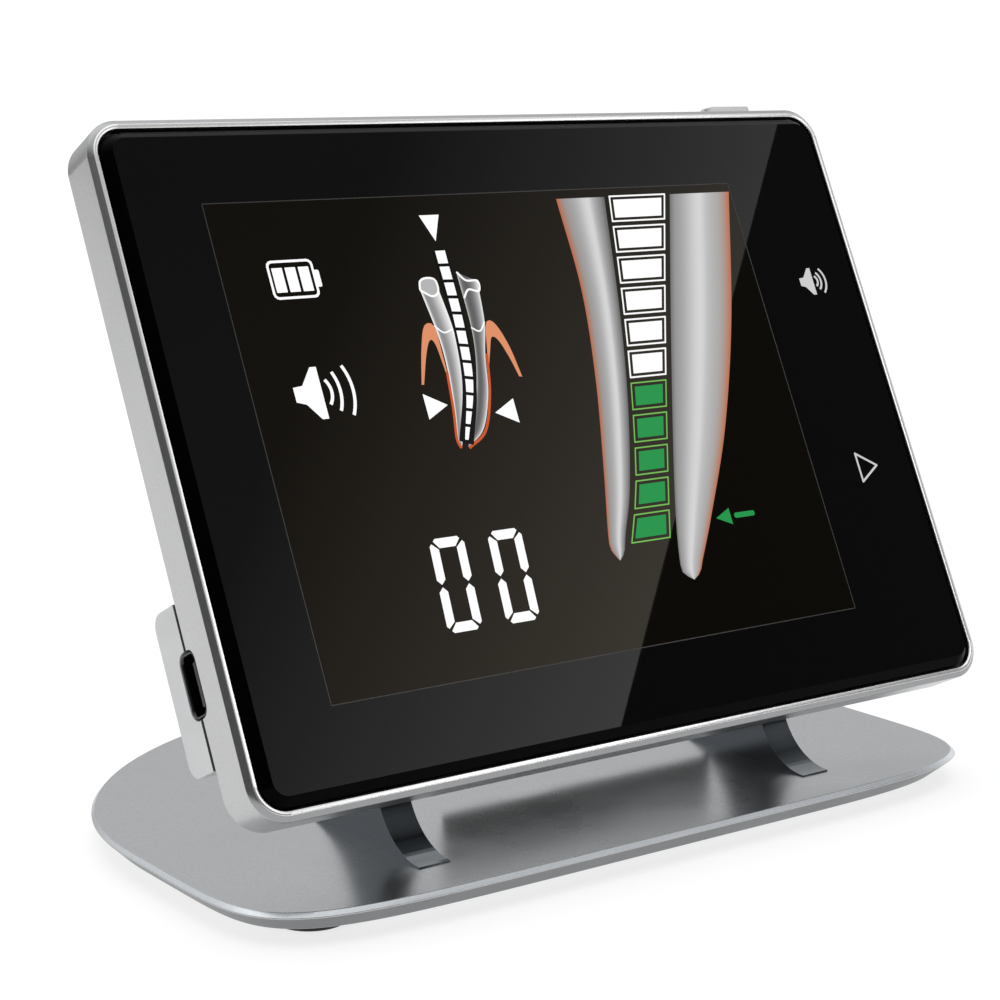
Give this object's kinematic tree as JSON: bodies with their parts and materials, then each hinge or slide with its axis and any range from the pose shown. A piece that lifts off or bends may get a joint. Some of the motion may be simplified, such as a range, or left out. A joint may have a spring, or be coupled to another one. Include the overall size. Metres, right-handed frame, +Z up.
{
  "type": "apex locator",
  "caption": "Desk-top dental root-length meter: tilting glass-fronted display head with rear battery housing, power button and side lead socket on a low metal stand.",
  "frame": {"origin": "on the surface it stands on, under the middle of the base plate", "axes": "+X to the right of a person facing the screen, +Y away from that person, +Z up; the screen faces -Y and leans back"},
  "size_m": [0.13, 0.0916, 0.1024],
  "materials": {
    "satin_aluminium": "bead-blasted, satin anodised, bright cut chamfers",
    "dark_aluminium": "satin, graphite anodised",
    "black_glass": "black-printed, polished",
    "sheet_metal": "bright sheet",
    "circuit_board": "solder mask over glass epoxy",
    "brass": "plain",
    "silver_shell": "fine satin silver paint on moulded plastic",
    "cell_pouch": "laminated foil pouch",
    "black_plastic": "fine moulded texture",
    "steel": "plated",
    "foot_rubber": "matt"
  },
  "bodies": {
    "stand": {"base_plate": "satin_aluminium", "arm_left": "dark_aluminium", "arm_right": "dark_aluminium", "arm_screw_1": "steel", "arm_screw_2": "steel", "arm_screw_3": "steel", "arm_screw_4": "steel", "foot_front_left": "foot_rubber", "foot_front_right": "foot_rubber", "foot_rear_left": "foot_rubber", "foot_rear_right": "foot_rubber"},
    "head": {"cover_glass": "black_glass", "front_frame": "satin_aluminium", "lcd_panel": "black_glass", "backlight_unit": "sheet_metal", "main_board": "circuit_board", "touch_board": "circuit_board", "touch_spring_sound": "brass", "touch_spring_play": "brass", "tact_switch": "black_plastic", "back_cover": "silver_shell", "cover_screw_1": "steel", "cover_screw_2": "steel", "cover_screw_3": "steel", "cover_screw_4": "steel", "rear_housing": "silver_shell", "battery": "cell_pouch", "battery_door": "silver_shell", "door_screw_1": "steel", "door_screw_2": "steel", "hinge_block_left": "dark_aluminium", "hinge_block_right": "dark_aluminium", "hinge_pin_left": "steel", "hinge_pin_right": "steel", "friction_washer_1": "brass", "friction_washer_2": "brass", "friction_washer_3": "brass", "friction_washer_4": "brass", "hinge_screw_1": "steel", "hinge_screw_2": "steel", "hinge_screw_3": "steel", "hinge_screw_4": "steel", "socket_shell": "steel", "socket_tongue": "black_plastic", "socket_board": "circuit_board", "buzzer": "black_plastic"},
    "button": {"power_button": "silver_shell"}
  },
  "joints": [
    {"name": "head_tilt", "type": "hinge", "parent": "stand", "child": "head", "pos_m": [0, -0.0254, 0.0274], "axis": [1, 0, 0], "range_deg": [-20, 18]},
    {"name": "power_button_press", "type": "slide", "parent": "head", "child": "button", "axis": [0, -0.4384, -0.8988], "range_m": [0, 0.0005], "stiffness_N_per_m": 2000, "springref_m": -0.0002}
  ]
}
